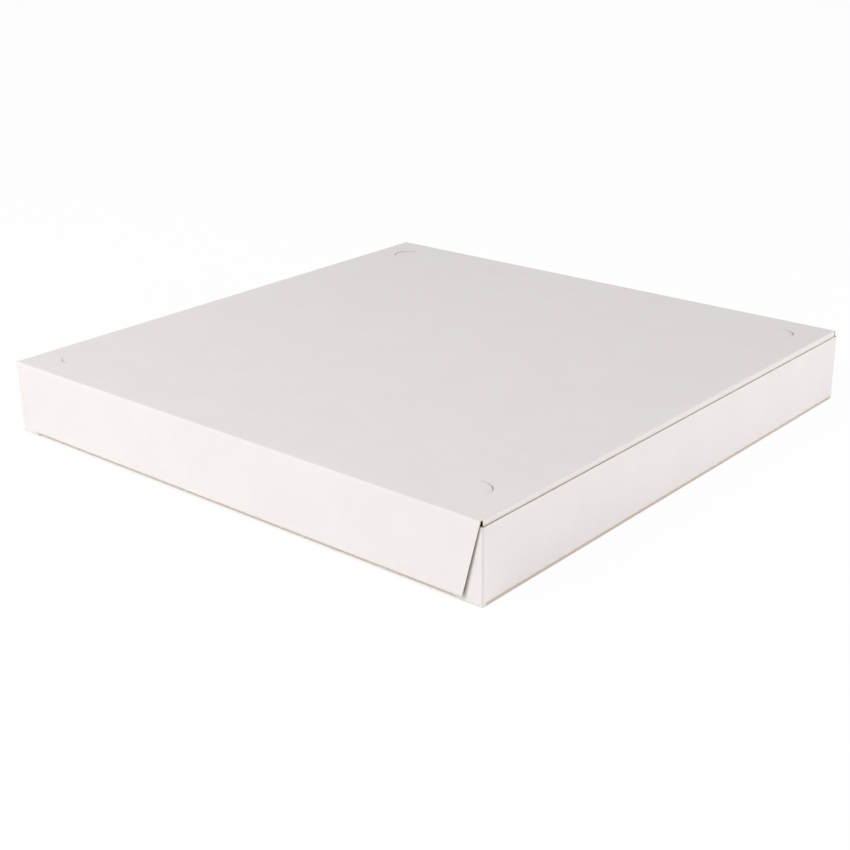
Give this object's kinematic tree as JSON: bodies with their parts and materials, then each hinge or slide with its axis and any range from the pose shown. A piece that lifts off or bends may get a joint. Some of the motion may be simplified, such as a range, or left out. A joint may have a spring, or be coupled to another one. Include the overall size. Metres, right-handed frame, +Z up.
{
  "type": "pizza box",
  "caption": "Flat square paperboard pizza box: a folded tray, a lid hinged at the back with tucked side flaps and crescent vent cuts, and a front flap that closes over the tray.",
  "frame": {"origin": "on the table, under the middle of the closed box", "axes": "+X across the box to the right seen from the front flap, +Y from the front flap to the lid's hinge, +Z up"},
  "size_m": [0.4064, 0.4064, 0.0508],
  "materials": {
    "coated_board": "white clay-coated paperboard outside, brown kraft inside and at the cut edges, matt"
  },
  "bodies": {
    "tray": {"tray": "coated_board"},
    "lid": {"lid": "coated_board"},
    "front_flap": {"front_flap": "coated_board"}
  },
  "joints": [
    {"name": "lid_hinge", "type": "hinge", "parent": "tray", "child": "lid", "pos_m": [0, 0.2023, 0.0505], "axis": [-1, 0, 0], "range_deg": [0, 180]},
    {"name": "front_flap_fold", "type": "hinge", "parent": "lid", "child": "front_flap", "pos_m": [0, -0.20191, 0.0505], "axis": [-1, 0, 0], "range_deg": [0, 180]}
  ]
}
